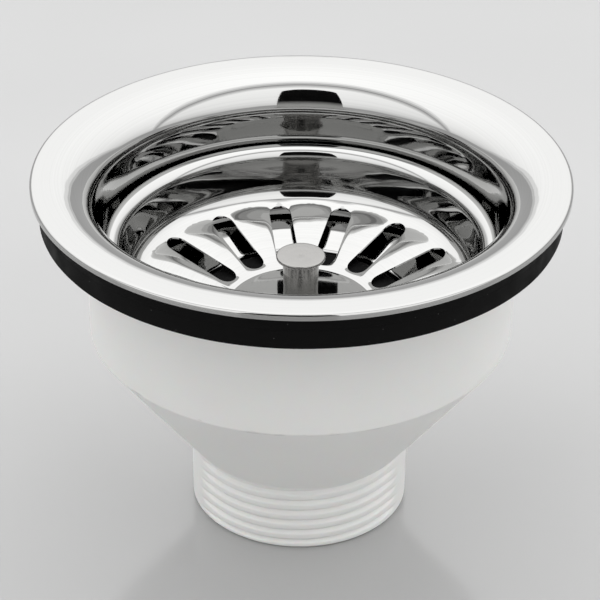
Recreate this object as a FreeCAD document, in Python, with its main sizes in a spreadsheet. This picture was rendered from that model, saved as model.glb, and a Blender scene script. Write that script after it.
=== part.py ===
"""Basket strainer waste for a kitchen sink.

A pressed steel cup hangs in the sink's hole and a hollow bolt pulls it down on to a plastic body with a
threaded outlet. Two rubber rings seal the sink between them. A slotted steel basket stands in the cup: its
rubber disc closes the drain holes, and its stem slides in the hollow bolt when the knob is lifted.

Millimetres, +Z up, origin at the centre of the outlet's lower end.
"""
import FreeCAD, Part
import math
import os

import Sketcher
from FreeCAD import Vector

doc = FreeCAD.newDocument("basket_strainer_waste")

# Driving dimensions

DIMENSIONS = {
    # Plastic body
    "outlet_radius": 23.9,
    "outlet_wall": 3.9,
    "outlet_length": 16.5,
    "outlet_chamfer": 0.7,
    "neck_step": 0.6,
    "drum_base": 44.95,
    "body_height": 71.5,
    "drum_wall": 2.0,
    "cone_wall": 3.0,
    "crease_radius": 0.8,
    "lip_reach": 4.2,
    "lip_thickness": 2.0,
    "lip_fillet": 1.0,
    # Hub and webs inside the body
    "hub_wall": 2.2,
    "hub_roof": 5.0,
    "web_count": 4,
    "web_thickness": 2.6,
    "web_drop": 2.0,
    "web_root": 1.0,
    # Rubber rings
    "seal_setback": 1.7,
    "upper_seal_thickness": 4.1,
    "lower_seal_thickness": 4.4,
    "seal_inset": 2.0,
    "seal_edge": 0.5,
    # Steel cup
    "steel": 0.5,
    "cup_radius": 42.9,
    "cup_clearance": 0.2,
    "rim_bend": 9.0,
    "rim_flat": 5.1,
    "rim_edge_drop": 1.4,
    "rim_edge_round": 0.75,
    "wall_depth": 27.9,
    "wall_corner": 8.0,
    "floor_drop": 5.6,
    "well_radius": 25.5,
    "well_mouth_round": 1.2,
    "well_depth": 3.95,
    "well_corner": 1.0,
    "seat_width": 5.5,
    "hub_seat_radius": 9.5,
    "hub_seat_drop": 3.65,
    "press_round": 1.5,
    "drain_hole_count": 6,
    "drain_hole_radius": 4.3,
    # Hollow bolt, its washer and its nut
    "bolt_radius": 4.9,
    "bolt_hole_clearance": 0.2,
    "bolt_head_radius": 8.0,
    "bolt_head_height": 2.2,
    "bolt_head_edge": 0.5,
    "bolt_slot_width": 2.4,
    "bolt_slot_depth": 1.2,
    "bolt_end": 1.0,
    "bolt_end_chamfer": 0.5,
    "washer_radius": 7.6,
    "washer_thickness": 0.8,
    "nut_width": 16.0,
    "nut_height": 8.0,
    "nut_corner": 1.2,
    "nut_clearance": 0.1,
    # Basket
    "basket_gap": 1.0,
    "basket_depth": 17.8,
    "basket_bead": 1.1,
    "basket_bead_flat": 0.1,
    "basket_bead_skirt": 0.5,
    "basket_shoulder": 2.6,
    "basket_flare": 0.1,
    "basket_foot_height": 5.85,
    "basket_foot_corner": 4.0,
    "basket_disc_radius": 15.6,
    "basket_disc_edge": 4.0,
    "slot_count": 15,
    "slot_width": 4.9,
    "slot_inner_margin": 4.4,
    "slot_outer_margin": 5.1,
    "slot_turn": 2.3,
    # Rubber disc and its washer
    "seat_clearance": 0.25,
    "plug_gap": 1.5,
    "plug_thickness": 4.15,
    "plug_lip_width": 3.5,
    "plug_edge": 0.6,
    "backing_radius": 12.0,
    "backing_thickness": 1.0,
    # Knob and stem
    "knob_height": 12.55,
    "knob_head_radius": 5.3,
    "knob_head_height": 0.9,
    "knob_head_edge": 0.35,
    "knob_neck_radius": 3.95,
    "knob_neck_fillet": 0.5,
    "knob_waist_radius": 3.65,
    "knob_waist_height": 2.8,
    "knob_waist_curve": 7.0,
    "knob_foot_radius": 4.5,
    "tail_radius": 2.0,
    "tail_length": 11.15,
    "tail_clearance": 0.1,
    "stem_clearance": 0.2,
    "stem_radius": 2.9,
    "stem_length": 16.0,
    "stem_tip_chamfer": 0.6,
    "ring_section": 0.6,
    "ring_clearance": 0.05,
    "ring_height": 3.6,
    "groove_side": 0.1,
}


class Size:
    """A size as a number, and as the expression on the sheet's cells that gives it."""

    def __init__(self, value, text):
        self.value = value
        self.text = text

    def __add__(self, other):
        other = as_size(other)
        return Size(self.value + other.value, f"({self.text} + {other.text})")

    def __sub__(self, other):
        other = as_size(other)
        return Size(self.value - other.value, f"({self.text} - {other.text})")

    def __mul__(self, other):
        other = as_size(other)
        return Size(self.value * other.value, f"({self.text} * {other.text})")

    def __truediv__(self, other):
        other = as_size(other)
        return Size(self.value / other.value, f"({self.text} / {other.text})")

    def __neg__(self):
        return Size(-self.value, f"(0 - {self.text})")


def as_size(number):
    """A bare number in a formula, such as the 2 of a half, becomes a Size too."""
    if isinstance(number, Size):
        return number
    return Size(float(number), repr(float(number)))


def write_sheet():
    """Put the driving dimensions in the document's sheet, one aliased cell each."""
    sheet = doc.addObject("Spreadsheet::Sheet", "sizes")
    for row, (alias, number) in enumerate(DIMENSIONS.items(), start=1):
        sheet.set(f"A{row}", alias)
        sheet.set(f"B{row}", str(number))
        sheet.setAlias(f"B{row}", alias)
    doc.recompute()
    return sheet


sizes = write_sheet()


def size(alias):
    return Size(float(sizes.get(alias)), f"sizes.{alias}")


def bind(owner, path, amount):
    """Drive one property or constraint of an object from the sheet."""
    owner.setExpression(path, amount.text)


# Sketching

AXIS = 0.0
START, END, CENTRE = range(1, 4)
SKETCH_X_AXIS, SKETCH_Y_AXIS = range(-1, -3, -1)
SKETCH_ORIGIN = (SKETCH_X_AXIS, START)


def origin_plane(body, role):
    return next(item for item in body.Origin.OriginFeatures if item.Role == role)


def new_sketch(body, name, role):
    sketch = body.newObject("Sketcher::SketchObject", name)
    sketch.AttachmentSupport = (origin_plane(body, role), [""])
    sketch.MapMode = "FlatFace"
    return sketch


def constrain(sketch, kind, *where, amount=None):
    """Add a constraint, bound to the sheet where it carries a size."""
    if amount is None:
        return sketch.addConstraint(Sketcher.Constraint(kind, *where))
    index = sketch.addConstraint(Sketcher.Constraint(kind, *where, amount.value))
    bind(sketch, f"Constraints[{index}]", amount)
    return index


def place_point(sketch, point, across, up):
    """Hold a point at a size across and up from the sketch's origin, or on the axis where that is AXIS."""
    if isinstance(across, Size):
        constrain(sketch, "DistanceX", *SKETCH_ORIGIN, *point, amount=across)
    else:
        constrain(sketch, "PointOnObject", *point, SKETCH_Y_AXIS)
    if isinstance(up, Size):
        constrain(sketch, "DistanceY", *SKETCH_ORIGIN, *point, amount=up)
    else:
        constrain(sketch, "PointOnObject", *point, SKETCH_X_AXIS)


def flat_vector(corner):
    return Vector(as_size(corner[0]).value, as_size(corner[1]).value, 0)


def rounded_corner(before, corner, after, radius):
    """First touch, second touch and centre of the arc that rounds a corner."""
    back = (before - corner).normalize()
    ahead = (after - corner).normalize()
    half = back.getAngle(ahead) / 2
    reach = radius / math.tan(half)
    middle = (back + ahead).normalize() * (radius / math.sin(half))
    return corner + back * reach, corner + ahead * reach, corner + middle


def trace(sketch, corners, closed=True):
    """Draw an outline from corner to corner.

    A corner is (across, up), or (across, up, radius) where an arc rounds it.
    """
    count = len(corners)
    spots = [flat_vector(corner) for corner in corners]
    arrive = list(spots)
    leave = list(spots)
    centres = {}
    for i, corner in enumerate(corners):
        if len(corner) == 3:
            before, after = spots[i - 1], spots[(i + 1) % count]
            arrive[i], leave[i], centres[i] = rounded_corner(before, spots[i], after, corner[2].value)

    line_count = count if closed else count - 1
    for i in range(line_count):
        sketch.addGeometry(Part.LineSegment(leave[i], arrive[(i + 1) % count]))

    for i, corner in enumerate(corners):
        line_in = (i - 1) % count
        starts_path = i == 0 and not closed
        ends_path = i == count - 1 and not closed
        if i in centres:
            point = add_round(sketch, line_in, i, arrive[i], leave[i], centres[i], spots[i], corner[2])
        elif ends_path:
            point = (line_in, END)
        else:
            point = (i, START)
            if not starts_path:
                constrain(sketch, "Coincident", line_in, END, i, START)
        place_point(sketch, point, corner[0], corner[1])


def add_round(sketch, line_in, line_out, first, second, centre, corner, radius):
    """Round one corner with a tangent arc, and keep the corner itself as a point on both lines."""
    turn = (corner - first).cross(second - corner).z
    begin, finish = (first, second) if turn > 0 else (second, first)
    angles = [math.atan2(p.y - centre.y, p.x - centre.x) for p in (begin, finish)]
    circle = Part.Circle(centre, Vector(0, 0, 1), radius.value)
    arc = sketch.addGeometry(Part.ArcOfCircle(circle, angles[0], angles[1]))
    near, far = (START, END) if turn > 0 else (END, START)
    constrain(sketch, "Tangent", line_in, END, arc, near)
    constrain(sketch, "Tangent", arc, far, line_out, START)
    constrain(sketch, "Radius", arc, amount=radius)
    mark = sketch.addGeometry(Part.Point(corner), True)
    constrain(sketch, "PointOnObject", mark, START, line_in)
    constrain(sketch, "PointOnObject", mark, START, line_out)
    return (mark, START)


# Features

def new_body(name):
    body = doc.addObject("PartDesign::Body", name)
    body.Label = name
    return body


def turn_profile(body, name, corners):
    """Revolve an outline in the XZ plane about the Z axis."""
    sketch = new_sketch(body, f"{name}_outline", "XZ_Plane")
    trace(sketch, corners)
    revolution = body.newObject("PartDesign::Revolution", name)
    revolution.Profile = sketch
    revolution.ReferenceAxis = (sketch, ["V_Axis"])
    revolution.Angle = 360
    doc.recompute()
    return revolution


def turned(name, corners):
    body = new_body(name)
    turn_profile(body, f"{name}_turned", corners)
    return body


def pressed(name, corners):
    """Press a piece from sheet: the upper side's path, thickened downwards and revolved."""
    sketch = doc.addObject("Sketcher::SketchObject", f"{name}_path")
    sketch.Placement.Rotation = FreeCAD.Rotation(Vector(1, 0, 0), 90)
    trace(sketch, corners, closed=False)
    section = doc.addObject("Part::Offset2D", f"{name}_section")
    section.Source = sketch
    section.Mode = "Skin"
    section.Join = "Intersection"
    section.Fill = True
    bind(section, "Value", steel)
    blank = doc.addObject("Part::Revolution", f"{name}_blank")
    blank.Source = section
    blank.Axis = Vector(0, 0, 1)
    blank.Angle = 360
    blank.Solid = True
    doc.recompute()
    body = new_body(name)
    body.BaseFeature = blank
    doc.recompute()
    return body


def cut_through(body, sketch, name):
    pocket = body.newObject("PartDesign::Pocket", name)
    pocket.Profile = sketch
    pocket.Type = "ThroughAll"
    pocket.SideType = "Symmetric"
    doc.recompute()
    return pocket


def repeat_round(body, feature, count):
    """Repeat a feature evenly about the Z axis."""
    pattern = body.newObject("PartDesign::PolarPattern", f"{feature.Name}_ring")
    pattern.Originals = [feature]
    pattern.Axis = (origin_plane(body, "Z_Axis"), [""])
    pattern.Angle = 360
    bind(pattern, "Occurrences", count)
    body.Tip = pattern
    doc.recompute()
    return pattern


# Sizes that several pieces share

steel = size("steel")
cup_radius = size("cup_radius")
cup_outside = cup_radius + steel
drum_bore = cup_outside + size("cup_clearance")
drum_radius = drum_bore + size("drum_wall")

body_height = size("body_height")
seal_split = body_height + size("lower_seal_thickness")
rim_underside = seal_split + size("upper_seal_thickness")
rim_top = rim_underside + steel
rim_bend = size("rim_bend")
bend_centre = cup_radius + rim_bend
rim_radius = bend_centre + size("rim_flat")
seal_radius = rim_radius - size("seal_setback")

floor_edge = rim_top - size("wall_depth")
well_mouth = floor_edge - size("floor_drop")
well_radius = size("well_radius")
seat = well_mouth - size("well_depth")
seat_inside = well_radius - size("seat_width")
hub_seat = seat - size("hub_seat_drop")
hub_top = hub_seat - steel
nut_roof = hub_top - size("hub_roof")
nut_height = size("nut_height")
hub_base = nut_roof - nut_height

bolt_radius = size("bolt_radius")
bolt_hole = bolt_radius + size("bolt_hole_clearance")
washer_top = hub_seat + size("washer_thickness")
stem_radius = size("stem_radius")
bolt_bore = stem_radius + size("stem_clearance")

plug_base = seat + size("seat_clearance")
basket_underside = plug_base + size("plug_thickness")
basket_centre = basket_underside + steel
backing_top = plug_base + size("backing_thickness")
tail_radius = size("tail_radius")
tail_hole = tail_radius + size("tail_clearance")
HEX_CORNER = 1 / math.cos(math.radians(30))


def make_flange():
    """Steel cup: turned edge, flat rim, big bend, wall, coned floor, well, seal seat and hub seat."""
    press_round = size("press_round")
    hub_seat_radius = size("hub_seat_radius")
    body = pressed("flange", [
        (rim_radius, rim_top - size("rim_edge_drop")),
        (rim_radius, rim_top, size("rim_edge_round")),
        (cup_radius, rim_top, rim_bend),
        (cup_radius, floor_edge, size("wall_corner")),
        (well_radius, well_mouth, size("well_mouth_round")),
        (well_radius, seat, size("well_corner")),
        (seat_inside, seat, press_round),
        (hub_seat_radius, hub_seat, press_round),
        (bolt_hole, hub_seat),
    ])
    hole_circle = (seat_inside + hub_seat_radius) / 2
    hole_radius = size("drain_hole_radius")
    holes = new_sketch(body, "drain_hole_outline", "XY_Plane")
    hole = holes.addGeometry(Part.Circle(Vector(hole_circle.value, 0, 0), Vector(0, 0, 1), hole_radius.value))
    constrain(holes, "Radius", hole, amount=hole_radius)
    place_point(holes, (hole, CENTRE), hole_circle, AXIS)
    drain_hole = cut_through(body, holes, "drain_hole")
    repeat_round(body, drain_hole, size("drain_hole_count"))
    return body


def make_upper_seal():
    """Rubber ring above the sink, bevelled inside to clear the cup's bend."""
    inside = cup_outside + size("seal_inset")
    edge = size("seal_edge")
    return turned("upper_seal", [
        (inside, seal_split),
        (seal_radius, seal_split, edge),
        (seal_radius, rim_underside, edge),
        (bend_centre, rim_underside),
    ])


def make_lower_seal():
    """Rubber ring below the sink, flat on the body's lip."""
    inside = cup_outside + size("seal_inset")
    edge = size("seal_edge")
    return turned("lower_seal", [
        (inside, body_height),
        (seal_radius, body_height, edge),
        (seal_radius, seal_split, edge),
        (inside, seal_split),
    ])


def make_waste_body():
    """Plastic body: lip, drum, cone and outlet, with a hub on webs inside for the bolt."""
    body = new_body("waste_body")
    outlet_radius = size("outlet_radius")
    outlet_bore = outlet_radius - size("outlet_wall")
    outlet_length = size("outlet_length")
    neck_radius = outlet_radius + size("neck_step")
    chamfer = size("outlet_chamfer")
    drum_base = size("drum_base")
    cone_wall = size("cone_wall")
    lip_radius = drum_radius + size("lip_reach")
    lip_base = body_height - size("lip_thickness")
    cone_rise = (drum_base - outlet_length) / (drum_radius - neck_radius)

    def cone_inside(height):
        """Radius of the cone's inner side at a height."""
        return neck_radius + (height - outlet_length) / cone_rise - cone_wall

    cone_top = drum_base + (cone_wall - size("drum_wall")) * cone_rise
    cone_foot = outlet_length + (outlet_bore + cone_wall - neck_radius) * cone_rise
    turn_profile(body, "shell", [
        (outlet_bore, AXIS),
        (outlet_radius - chamfer, AXIS),
        (outlet_radius, chamfer),
        (outlet_radius, outlet_length),
        (neck_radius, outlet_length),
        (drum_radius, drum_base, size("crease_radius")),
        (drum_radius, lip_base, size("lip_fillet")),
        (lip_radius, lip_base),
        (lip_radius, body_height),
        (drum_bore, body_height),
        (drum_bore, cone_top),
        (outlet_bore, cone_foot),
    ])

    web_top = hub_top - size("web_drop")
    web_root = size("web_root")
    web_outline = new_sketch(body, "web_outline", "XZ_Plane")
    trace(web_outline, [
        (AXIS, hub_base),
        (cone_inside(hub_base) + web_root, hub_base),
        (cone_inside(web_top) + web_root, web_top),
        (AXIS, web_top),
    ])
    web = body.newObject("PartDesign::Pad", "web")
    web.Profile = web_outline
    web.SideType = "Symmetric"
    bind(web, "Length", size("web_thickness"))
    doc.recompute()
    repeat_round(body, web, size("web_count"))

    hub_radius = size("nut_width") / 2 * HEX_CORNER + size("hub_wall")
    turn_profile(body, "hub", [
        (AXIS, hub_base),
        (hub_radius, hub_base),
        (hub_radius, hub_top),
        (AXIS, hub_top),
    ])
    bolt_way = body.newObject("PartDesign::SubtractiveCylinder", "bolt_way")
    bind(bolt_way, "Radius", bolt_hole)
    bind(bolt_way, "Height", hub_top - hub_base)
    bind(bolt_way, "Placement.Base.z", hub_base)
    nut_pocket = body.newObject("PartDesign::SubtractivePrism", "nut_pocket")
    nut_pocket.Polygon = 6
    bind(nut_pocket, "Circumradius", (size("nut_width") / 2 + size("nut_clearance")) * HEX_CORNER)
    bind(nut_pocket, "Height", nut_height)
    bind(nut_pocket, "Placement.Base.z", hub_base)
    doc.recompute()
    return body


def make_centre_bolt():
    """Hollow bolt with a flat slotted head; its bore guides the basket's stem."""
    head_top = washer_top + size("bolt_head_height")
    head_radius = size("bolt_head_radius")
    bolt_tip = hub_base - size("bolt_end")
    chamfer = size("bolt_end_chamfer")
    body = turned("centre_bolt", [
        (bolt_bore, bolt_tip),
        (bolt_radius - chamfer, bolt_tip),
        (bolt_radius, bolt_tip + chamfer),
        (bolt_radius, washer_top),
        (head_radius, washer_top),
        (head_radius, head_top, size("bolt_head_edge")),
        (bolt_bore, head_top),
    ])
    slot = body.newObject("PartDesign::SubtractiveBox", "driver_slot")
    slot_width = size("bolt_slot_width")
    bind(slot, "Length", head_radius * 2)
    bind(slot, "Width", slot_width)
    bind(slot, "Height", size("bolt_slot_depth"))
    bind(slot, "Placement.Base.x", -head_radius)
    bind(slot, "Placement.Base.y", -slot_width / 2)
    bind(slot, "Placement.Base.z", head_top - size("bolt_slot_depth"))
    doc.recompute()
    return body


def make_bolt_washer():
    return turned("bolt_washer", [
        (bolt_hole, hub_seat),
        (size("washer_radius"), hub_seat),
        (size("washer_radius"), washer_top),
        (bolt_hole, washer_top),
    ])


def make_clamp_nut():
    """Hexagon nut, its lower corners turned off, that the pocket under the hub keeps from turning."""
    body = new_body("clamp_nut")
    corner_radius = size("nut_width") / 2 * HEX_CORNER
    hexagon = body.newObject("PartDesign::AdditivePrism", "hexagon")
    hexagon.Polygon = 6
    bind(hexagon, "Circumradius", corner_radius)
    bind(hexagon, "Height", nut_height)
    bind(hexagon, "Placement.Base.z", hub_base)
    nut_hole = body.newObject("PartDesign::SubtractiveCylinder", "nut_hole")
    bind(nut_hole, "Radius", bolt_radius + size("nut_clearance"))
    bind(nut_hole, "Height", nut_height)
    bind(nut_hole, "Placement.Base.z", hub_base)
    corner_cut = size("nut_corner")
    outline = new_sketch(body, "corner_outline", "XZ_Plane")
    trace(outline, [
        (corner_radius - corner_cut, hub_base),
        (corner_radius + corner_cut, hub_base),
        (corner_radius + corner_cut, hub_base + corner_cut),
    ])
    corners = body.newObject("PartDesign::Groove", "turned_corners")
    corners.Profile = outline
    corners.ReferenceAxis = (outline, ["V_Axis"])
    corners.Angle = 360
    doc.recompute()
    return body


def make_basket():
    """Steel basket: turned-down rim, round shoulder, wall, coned floor with a ring of slots, flat middle."""
    rim_outside = cup_radius - size("basket_gap")
    rim_height = basket_centre + size("basket_depth")
    bead = size("basket_bead")
    shoulder = size("basket_shoulder")
    rim_inside = rim_outside - bead - size("basket_bead_flat") - shoulder
    foot_radius = rim_inside - size("basket_flare")
    foot_height = basket_centre + size("basket_foot_height")
    disc_radius = size("basket_disc_radius")
    body = pressed("basket", [
        (rim_outside, rim_height - bead - size("basket_bead_skirt")),
        (rim_outside, rim_height, bead),
        (rim_inside, rim_height, shoulder),
        (foot_radius, foot_height, size("basket_foot_corner")),
        (disc_radius, basket_centre, size("basket_disc_edge")),
        (tail_hole, basket_centre),
    ])
    slot_inner = disc_radius + size("slot_inner_margin")
    slot_outer = foot_radius - size("slot_outer_margin")
    outline = new_sketch(body, "slot_outline", "XY_Plane")
    draw_slot(outline, slot_inner, slot_outer, size("slot_width") / 2)
    slot = cut_through(body, outline, "slot")
    repeat_round(body, slot, size("slot_count"))
    bind(body, "Placement.Rotation.Angle", size("slot_turn"))
    doc.recompute()
    return body


def draw_slot(sketch, inner, outer, half_width):
    """Round-ended slot along the sketch's X axis, between the centres of its two ends."""
    half = half_width.value
    quarter = math.pi / 2
    ends = []
    for reach, from_angle in ((inner, quarter), (outer, -quarter)):
        centre = Vector(reach.value, 0, 0)
        circle = Part.Circle(centre, Vector(0, 0, 1), half)
        ends.append(sketch.addGeometry(Part.ArcOfCircle(circle, from_angle, from_angle + math.pi)))
    inner_end, outer_end = ends
    lower = sketch.addGeometry(Part.LineSegment(Vector(inner.value, -half, 0), Vector(outer.value, -half, 0)))
    upper = sketch.addGeometry(Part.LineSegment(Vector(outer.value, half, 0), Vector(inner.value, half, 0)))
    constrain(sketch, "Tangent", inner_end, END, lower, START)
    constrain(sketch, "Tangent", lower, END, outer_end, START)
    constrain(sketch, "Tangent", outer_end, END, upper, START)
    constrain(sketch, "Tangent", upper, END, inner_end, START)
    constrain(sketch, "Radius", inner_end, amount=half_width)
    place_point(sketch, (inner_end, CENTRE), inner, AXIS)
    place_point(sketch, (outer_end, CENTRE), outer, AXIS)


def make_plug_seal():
    """Rubber disc under the basket, with a lip all round that meets the cup's seat."""
    plug_radius = well_radius - size("plug_gap")
    lip_inside = plug_radius - size("plug_lip_width")
    edge = size("plug_edge")
    return turned("plug_seal", [
        (tail_hole, backing_top),
        (lip_inside, backing_top),
        (lip_inside, plug_base),
        (plug_radius, plug_base, edge),
        (plug_radius, basket_underside, edge),
        (tail_hole, basket_underside),
    ])


def make_seal_washer():
    return turned("seal_washer", [
        (tail_hole, plug_base),
        (size("backing_radius"), plug_base),
        (size("backing_radius"), backing_top),
        (tail_hole, backing_top),
    ])


def make_knob():
    """Turned post: thin round head, waisted neck that spreads to its foot, and a tail to the stem."""
    top = basket_centre + size("knob_height")
    head_radius = size("knob_head_radius")
    head_base = top - size("knob_head_height")
    edge = size("knob_head_edge")
    tail_tip = basket_underside - size("tail_length")
    return turned("knob", [
        (AXIS, top),
        (head_radius, top, edge),
        (head_radius, head_base, edge),
        (size("knob_neck_radius"), head_base, size("knob_neck_fillet")),
        (size("knob_waist_radius"), basket_centre + size("knob_waist_height"), size("knob_waist_curve")),
        (size("knob_foot_radius"), basket_centre),
        (tail_radius, basket_centre),
        (tail_radius, tail_tip),
        (AXIS, tail_tip),
    ])


def stem_ring_height():
    """Height of the ring's centre, up from the stem's lower end."""
    return plug_base - size("stem_length") + size("ring_height")


def make_guide_stem():
    """Turned stem screwed on the knob's tail, with a groove for its rubber ring."""
    tip = plug_base - size("stem_length")
    chamfer = size("stem_tip_chamfer")
    ring_section = size("ring_section")
    groove_half = ring_section + size("groove_side")
    groove_radius = bolt_bore - size("ring_clearance") - ring_section * 2 - size("groove_side")
    tail_tip = basket_underside - size("tail_length")
    return turned("guide_stem", [
        (AXIS, tip),
        (stem_radius - chamfer, tip),
        (stem_radius, tip + chamfer),
        (stem_radius, stem_ring_height() - groove_half),
        (groove_radius, stem_ring_height() - groove_half),
        (groove_radius, stem_ring_height() + groove_half),
        (stem_radius, stem_ring_height() + groove_half),
        (stem_radius, plug_base),
        (tail_hole, plug_base),
        (tail_hole, tail_tip),
        (AXIS, tail_tip),
    ])


def make_stem_ring():
    """Rubber ring in the stem's groove, close in the bolt's bore."""
    section = size("ring_section")
    ring = doc.addObject("Part::Torus", "stem_ring")
    ring.Label = "stem_ring"
    bind(ring, "Radius1", bolt_bore - size("ring_clearance") - section)
    bind(ring, "Radius2", section)
    bind(ring, "Placement.Base.z", stem_ring_height())
    doc.recompute()
    return ring


def check_document(parts):
    """Stop before anything is written if a feature failed or a piece is not one sound solid."""
    for item in doc.Objects:
        if "Invalid" in item.State or "Error" in item.State:
            raise RuntimeError(f"{item.Name} failed: {item.State}")
    for part in parts:
        shape = part.Shape
        if shape.isNull() or not shape.isValid() or len(shape.Solids) != 1:
            raise RuntimeError(f"{part.Label} is not one valid solid")


def main():
    parts = [
        make_flange(),
        make_upper_seal(),
        make_lower_seal(),
        make_waste_body(),
        make_centre_bolt(),
        make_bolt_washer(),
        make_clamp_nut(),
        make_basket(),
        make_plug_seal(),
        make_seal_washer(),
        make_knob(),
        make_guide_stem(),
        make_stem_ring(),
    ]
    check_document(parts)
    os.makedirs("parts", exist_ok=True)
    for part in parts:
        part.Shape.exportStep(f"parts/{part.Label}.step")
        box = part.Shape.BoundBox
        print(f"{part.Label}: {part.Shape.Volume:.1f} mm3, z {box.ZMin:.2f} to {box.ZMax:.2f}")


main()
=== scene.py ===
# %% [markdown]
# # Basket strainer waste
#
# A kitchen sink's waste stands on its outlet: a polished steel cup with a wide rim, a slotted steel basket in
# it, black rubber under the rim and a white plastic body that narrows to a thread. The engineering model
# gives the frame: every piece here goes where a node of that model is, in metres, and rides on the node's
# body.

# %% Load the frame
import bmesh
import bpy
import math
from mathutils import Matrix, Vector


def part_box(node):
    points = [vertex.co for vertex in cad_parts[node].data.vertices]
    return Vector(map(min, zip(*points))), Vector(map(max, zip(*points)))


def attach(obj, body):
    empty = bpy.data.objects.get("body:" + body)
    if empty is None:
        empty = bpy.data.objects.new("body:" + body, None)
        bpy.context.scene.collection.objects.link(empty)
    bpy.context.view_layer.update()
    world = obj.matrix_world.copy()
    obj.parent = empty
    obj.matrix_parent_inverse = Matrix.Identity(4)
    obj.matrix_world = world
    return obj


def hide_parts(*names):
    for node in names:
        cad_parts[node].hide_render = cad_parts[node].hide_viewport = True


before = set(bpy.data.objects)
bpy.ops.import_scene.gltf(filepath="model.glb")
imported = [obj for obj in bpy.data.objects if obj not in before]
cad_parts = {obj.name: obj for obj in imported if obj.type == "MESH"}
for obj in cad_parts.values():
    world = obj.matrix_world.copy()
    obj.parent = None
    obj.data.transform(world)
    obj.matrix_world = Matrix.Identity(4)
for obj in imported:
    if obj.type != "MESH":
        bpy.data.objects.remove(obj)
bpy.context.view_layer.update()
MM = 0.001
print("nodes:", ", ".join(sorted(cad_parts)))

# %% [markdown]
# ## Camera
#
# The photograph looks down at the waste from about half a metre, so the far side of the bowl shows over the
# near rim. The place, the tilt and the long lens were found by matching the rim, the gasket and the outlet,
# which are circles of known size. Setting them as numbers keeps the view the same at every run.

# %% Camera at the photograph's angle
CAMERA_PLACE = (-0.4, -452.9, 325.4)
CAMERA_PITCH = 31.384
CAMERA_YAW = 0.036
CAMERA_ROLL = 0.45
FOCAL_LENGTH = 147.0
SENSOR_WIDTH = 36.0

camera = bpy.data.objects.new("camera", bpy.data.cameras.new("camera"))
bpy.context.scene.collection.objects.link(camera)
bpy.context.scene.camera = camera
camera.data.lens = FOCAL_LENGTH
camera.data.sensor_width = SENSOR_WIDTH
camera.data.sensor_fit = "HORIZONTAL"
camera.data.clip_end = 20
turn = Matrix.Rotation(math.radians(-CAMERA_YAW), 4, "Z")
tilt = Matrix.Rotation(math.radians(90 - CAMERA_PITCH), 4, "X")
lean = Matrix.Rotation(math.radians(CAMERA_ROLL), 4, "Z")
camera.matrix_world = Matrix.Translation(Vector(CAMERA_PLACE) * MM) @ turn @ tilt @ lean
print("camera at", [round(v, 4) for v in camera.matrix_world.translation])

# %% [markdown]
# ## Drawing a section and spinning it
#
# Nearly every piece of a waste is round: pressed over a round punch, turned in a lathe or moulded in a turned
# mould. So each one starts as half a section, a few corners with their roundings, and is spun about the Z
# axis. A Screw modifier would do that too. Spinning in code lets a shape differ round the axis, as a thread
# does, and lets a pierced floor join the spun rings vertex to vertex.

# %% Sections
ARC_STEP = math.radians(10)
LONGEST_STEP = 2.0


def rounded(corners, closed=False):
    """Points of a section, in mm, from corners (radius, height) or (radius, height, rounding)."""
    spots = [Vector(corner[:2]) for corner in corners]
    points = []
    for i, corner in enumerate(corners):
        at_an_end = not closed and i in (0, len(corners) - 1)
        if len(corner) == 2 or at_an_end:
            points.append(spots[i])
            continue
        back = (spots[i - 1] - spots[i]).normalized()
        ahead = (spots[(i + 1) % len(spots)] - spots[i]).normalized()
        half = back.angle(ahead) / 2
        centre = spots[i] + (back + ahead).normalized() * (corner[2] / math.sin(half))
        spoke = spots[i] + back * (corner[2] / math.tan(half)) - centre
        sweep = math.copysign(math.pi - 2 * half, ahead.cross(back))
        steps = max(2, math.ceil(abs(sweep) / ARC_STEP))
        points += [centre + Matrix.Rotation(sweep * k / steps, 2) @ spoke for k in range(steps + 1)]
    return evened(points + points[:1])[:-1] if closed else evened(points)


def evened(points, longest=LONGEST_STEP):
    """The same line with its long straight stretches divided."""
    line = [points[0]]
    for start, end in zip(points, points[1:]):
        steps = max(1, math.ceil((end - start).length / longest))
        line += [start.lerp(end, k / steps) for k in range(1, steps + 1)]
    return line


print("sections: arcs every", round(math.degrees(ARC_STEP)), "degrees, runs of", LONGEST_STEP, "mm at most")

# %% Spinning
ON_AXIS = 1e-6
WELD = 0.0005


def ring_angles(count, first=0.0):
    return [first + math.tau * k / count for k in range(count)]


def spin(mesh, section, angles, closed=False, shaped=None):
    """Add rings of faces for a section. shaped(angle, radius, height) may change a point's radius, in mm."""
    rings = []
    for radius, height in section:
        if radius < ON_AXIS:
            rings.append([mesh.verts.new((0, 0, height * MM))])
            continue
        reach = [shaped(a, radius, height) if shaped else radius for a in angles]
        rings.append([mesh.verts.new((r * math.cos(a) * MM, r * math.sin(a) * MM, height * MM))
                      for r, a in zip(reach, angles)])
    following = rings[1:] + rings[:1] if closed else rings[1:]
    for ring, after in zip(rings, following):
        for k in range(len(angles)):
            j = (k + 1) % len(angles)
            corners = [ring[k % len(ring)], ring[j % len(ring)], after[j % len(after)], after[k % len(after)]]
            mesh.faces.new(list(dict.fromkeys(corners)))


def piece_from(mesh, name, body, *nodes):
    """Turn a bmesh into a smooth piece that rides on a body and stands for CAD nodes."""
    bmesh.ops.remove_doubles(mesh, verts=mesh.verts, dist=WELD * MM)
    data = bpy.data.meshes.new(name)
    mesh.to_mesh(data)
    mesh.free()
    data.shade_smooth()
    piece = bpy.data.objects.new(name, data)
    bpy.context.scene.collection.objects.link(piece)
    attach(piece, body)
    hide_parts(*nodes)
    print(f"{name}: {len(data.polygons)} faces")
    return piece


print("points nearer than", WELD, "mm become one")

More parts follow.
